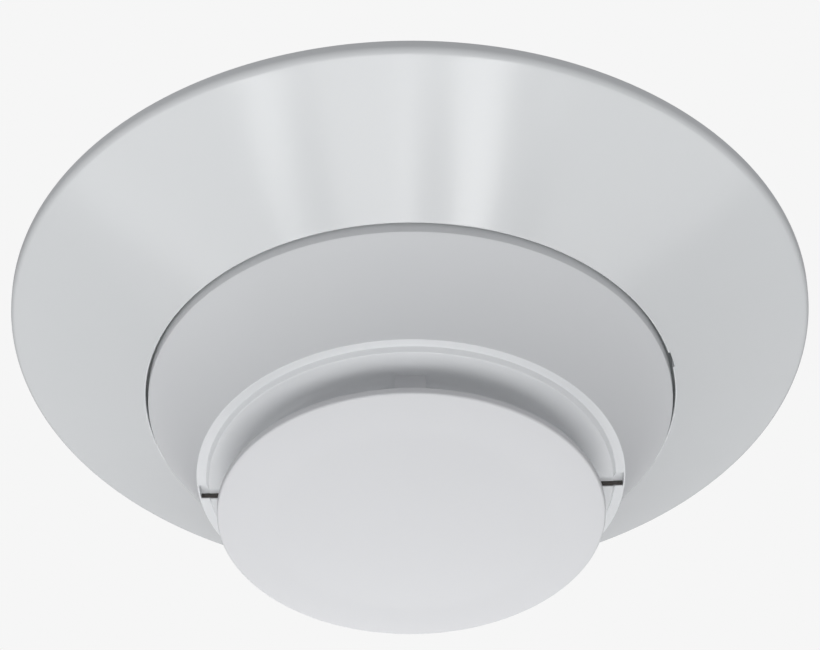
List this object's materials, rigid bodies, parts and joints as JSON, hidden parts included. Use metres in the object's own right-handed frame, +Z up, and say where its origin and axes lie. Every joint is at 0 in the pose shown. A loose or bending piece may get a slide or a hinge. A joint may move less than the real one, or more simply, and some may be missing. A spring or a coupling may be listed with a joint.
{
  "type": "heat detector",
  "caption": "Round ceiling heat detector: a domed cap below an air inlet on a flared head, in a wide cone-shaped flanged base with a bayonet mount.",
  "frame": {"origin": "centre of the base's back face, on the ceiling", "axes": "+Z points up into the ceiling, so the detector hangs down to negative z; the two indicator slots lie near the X axis"},
  "size_m": [0.155, 0.155, 0.051],
  "materials": {
    "flange_plastic": "glossy moulded",
    "cover_plastic": "glossy moulded",
    "cap_plastic": "satin moulded",
    "base_plastic": "satin moulded",
    "housing_plastic": "satin moulded",
    "contact_bronze": "phosphor bronze, rolled",
    "zinc_steel": "zinc plated",
    "tinned_wire": "tinned",
    "board_laminate": "solder mask",
    "switch_plastic": "moulded",
    "dial_plastic": "moulded",
    "bead_epoxy": "dipped epoxy",
    "diode_resin": "cast resin",
    "pipe_resin": "tinted, polished",
    "reed_glass": "drawn glass",
    "can_aluminium": "drawn can",
    "chip_resin": "moulded epoxy",
    "ferrite": "sintered",
    "ceramic_chip": "fired chip",
    "label_paper": "blank"
  },
  "bodies": {
    "base": {"trim_flange": "flange_plastic", "mounting_base": "base_plastic", "contact_spring_1": "contact_bronze", "contact_spring_2": "contact_bronze", "contact_spring_3": "contact_bronze", "contact_spring_4": "contact_bronze"},
    "head": {"head_cover": "cover_plastic", "cap_disc": "cap_plastic", "thermal_cage": "cap_plastic", "back_housing": "housing_plastic", "circuit_board": "board_laminate", "board_screws": "zinc_steel", "thermistor_tower": "housing_plastic", "thermistor_bead": "bead_epoxy", "thermistor_leads": "tinned_wire", "indicator_led_left": "diode_resin", "indicator_led_right": "diode_resin", "light_pipe_left": "pipe_resin", "light_pipe_right": "pipe_resin", "tens_switch_body": "switch_plastic", "ones_switch_body": "switch_plastic", "address_label": "label_paper", "microcontroller": "chip_resin", "crystal": "can_aluminium", "choke": "ferrite", "surge_suppressor": "chip_resin", "reed_switch": "reed_glass", "reed_switch_leads": "tinned_wire", "capacitors": "can_aluminium", "chip_parts": "ceramic_chip", "contact_blade_1": "contact_bronze", "contact_blade_2": "contact_bronze", "contact_blade_3": "contact_bronze", "contact_blade_4": "contact_bronze"},
    "tamper_lever": {"tamper_lever": "base_plastic"},
    "tens_dial": {"tens_dial": "dial_plastic"},
    "ones_dial": {"ones_dial": "dial_plastic"},
    "terminal_clamp_1": {"terminal_clamp_1": "zinc_steel"},
    "terminal_screw_1": {"terminal_screw_1": "zinc_steel"},
    "terminal_clamp_2": {"terminal_clamp_2": "zinc_steel"},
    "terminal_screw_2": {"terminal_screw_2": "zinc_steel"},
    "terminal_clamp_3": {"terminal_clamp_3": "zinc_steel"},
    "terminal_screw_3": {"terminal_screw_3": "zinc_steel"},
    "terminal_clamp_4": {"terminal_clamp_4": "zinc_steel"},
    "terminal_screw_4": {"terminal_screw_4": "zinc_steel"}
  },
  "joints": [
    {"name": "head_twist", "type": "hinge", "parent": "base", "child": "head", "pos_m": [0, 0, -0.014], "axis": [0, 0, 1], "range_deg": [-20, 0]},
    {"name": "tamper_lever_flex", "type": "hinge", "parent": "base", "child": "tamper_lever", "pos_m": [0.04372, -0.01066, -0.0027], "axis": [0.2368, 0.9715, 0], "range_deg": [0, 4], "stiffness_Nm_per_rad": 0.05},
    {"name": "tens_dial_turn", "type": "hinge", "parent": "head", "child": "tens_dial", "pos_m": [-0.0095, 0, -0.016], "axis": [0, 0, -1], "range_deg": [0, 202.5]},
    {"name": "ones_dial_turn", "type": "hinge", "parent": "head", "child": "ones_dial", "pos_m": [0.0095, 0, -0.016], "axis": [0, 0, -1], "continuous": true},
    {"name": "clamp_1_slide", "type": "slide", "parent": "base", "child": "terminal_clamp_1", "axis": [0, 0, -1], "range_m": [0, 0.003]},
    {"name": "screw_1_turn", "type": "hinge", "parent": "terminal_clamp_1", "child": "terminal_screw_1", "pos_m": [0.0297, 0.0297, -0.009], "axis": [0, 0, -1], "range_deg": [0, 1800]},
    {"name": "clamp_2_slide", "type": "slide", "parent": "base", "child": "terminal_clamp_2", "axis": [0, 0, -1], "range_m": [0, 0.003]},
    {"name": "screw_2_turn", "type": "hinge", "parent": "terminal_clamp_2", "child": "terminal_screw_2", "pos_m": [-0.0297, 0.0297, -0.009], "axis": [0, 0, -1], "range_deg": [0, 1800]},
    {"name": "clamp_3_slide", "type": "slide", "parent": "base", "child": "terminal_clamp_3", "axis": [0, 0, -1], "range_m": [0, 0.003]},
    {"name": "screw_3_turn", "type": "hinge", "parent": "terminal_clamp_3", "child": "terminal_screw_3", "pos_m": [-0.0297, -0.0297, -0.009], "axis": [0, 0, -1], "range_deg": [0, 1800]},
    {"name": "clamp_4_slide", "type": "slide", "parent": "base", "child": "terminal_clamp_4", "axis": [0, 0, -1], "range_m": [0, 0.003]},
    {"name": "screw_4_turn", "type": "hinge", "parent": "terminal_clamp_4", "child": "terminal_screw_4", "pos_m": [0.0297, -0.0297, -0.009], "axis": [0, 0, -1], "range_deg": [0, 1800]}
  ],
  "couplings": [
    {"joint": "screw_1_turn", "follows": "clamp_1_slide", "rad_per_m": 10472},
    {"joint": "screw_2_turn", "follows": "clamp_2_slide", "rad_per_m": 10472},
    {"joint": "screw_3_turn", "follows": "clamp_3_slide", "rad_per_m": 10472},
    {"joint": "screw_4_turn", "follows": "clamp_4_slide", "rad_per_m": 10472}
  ]
}
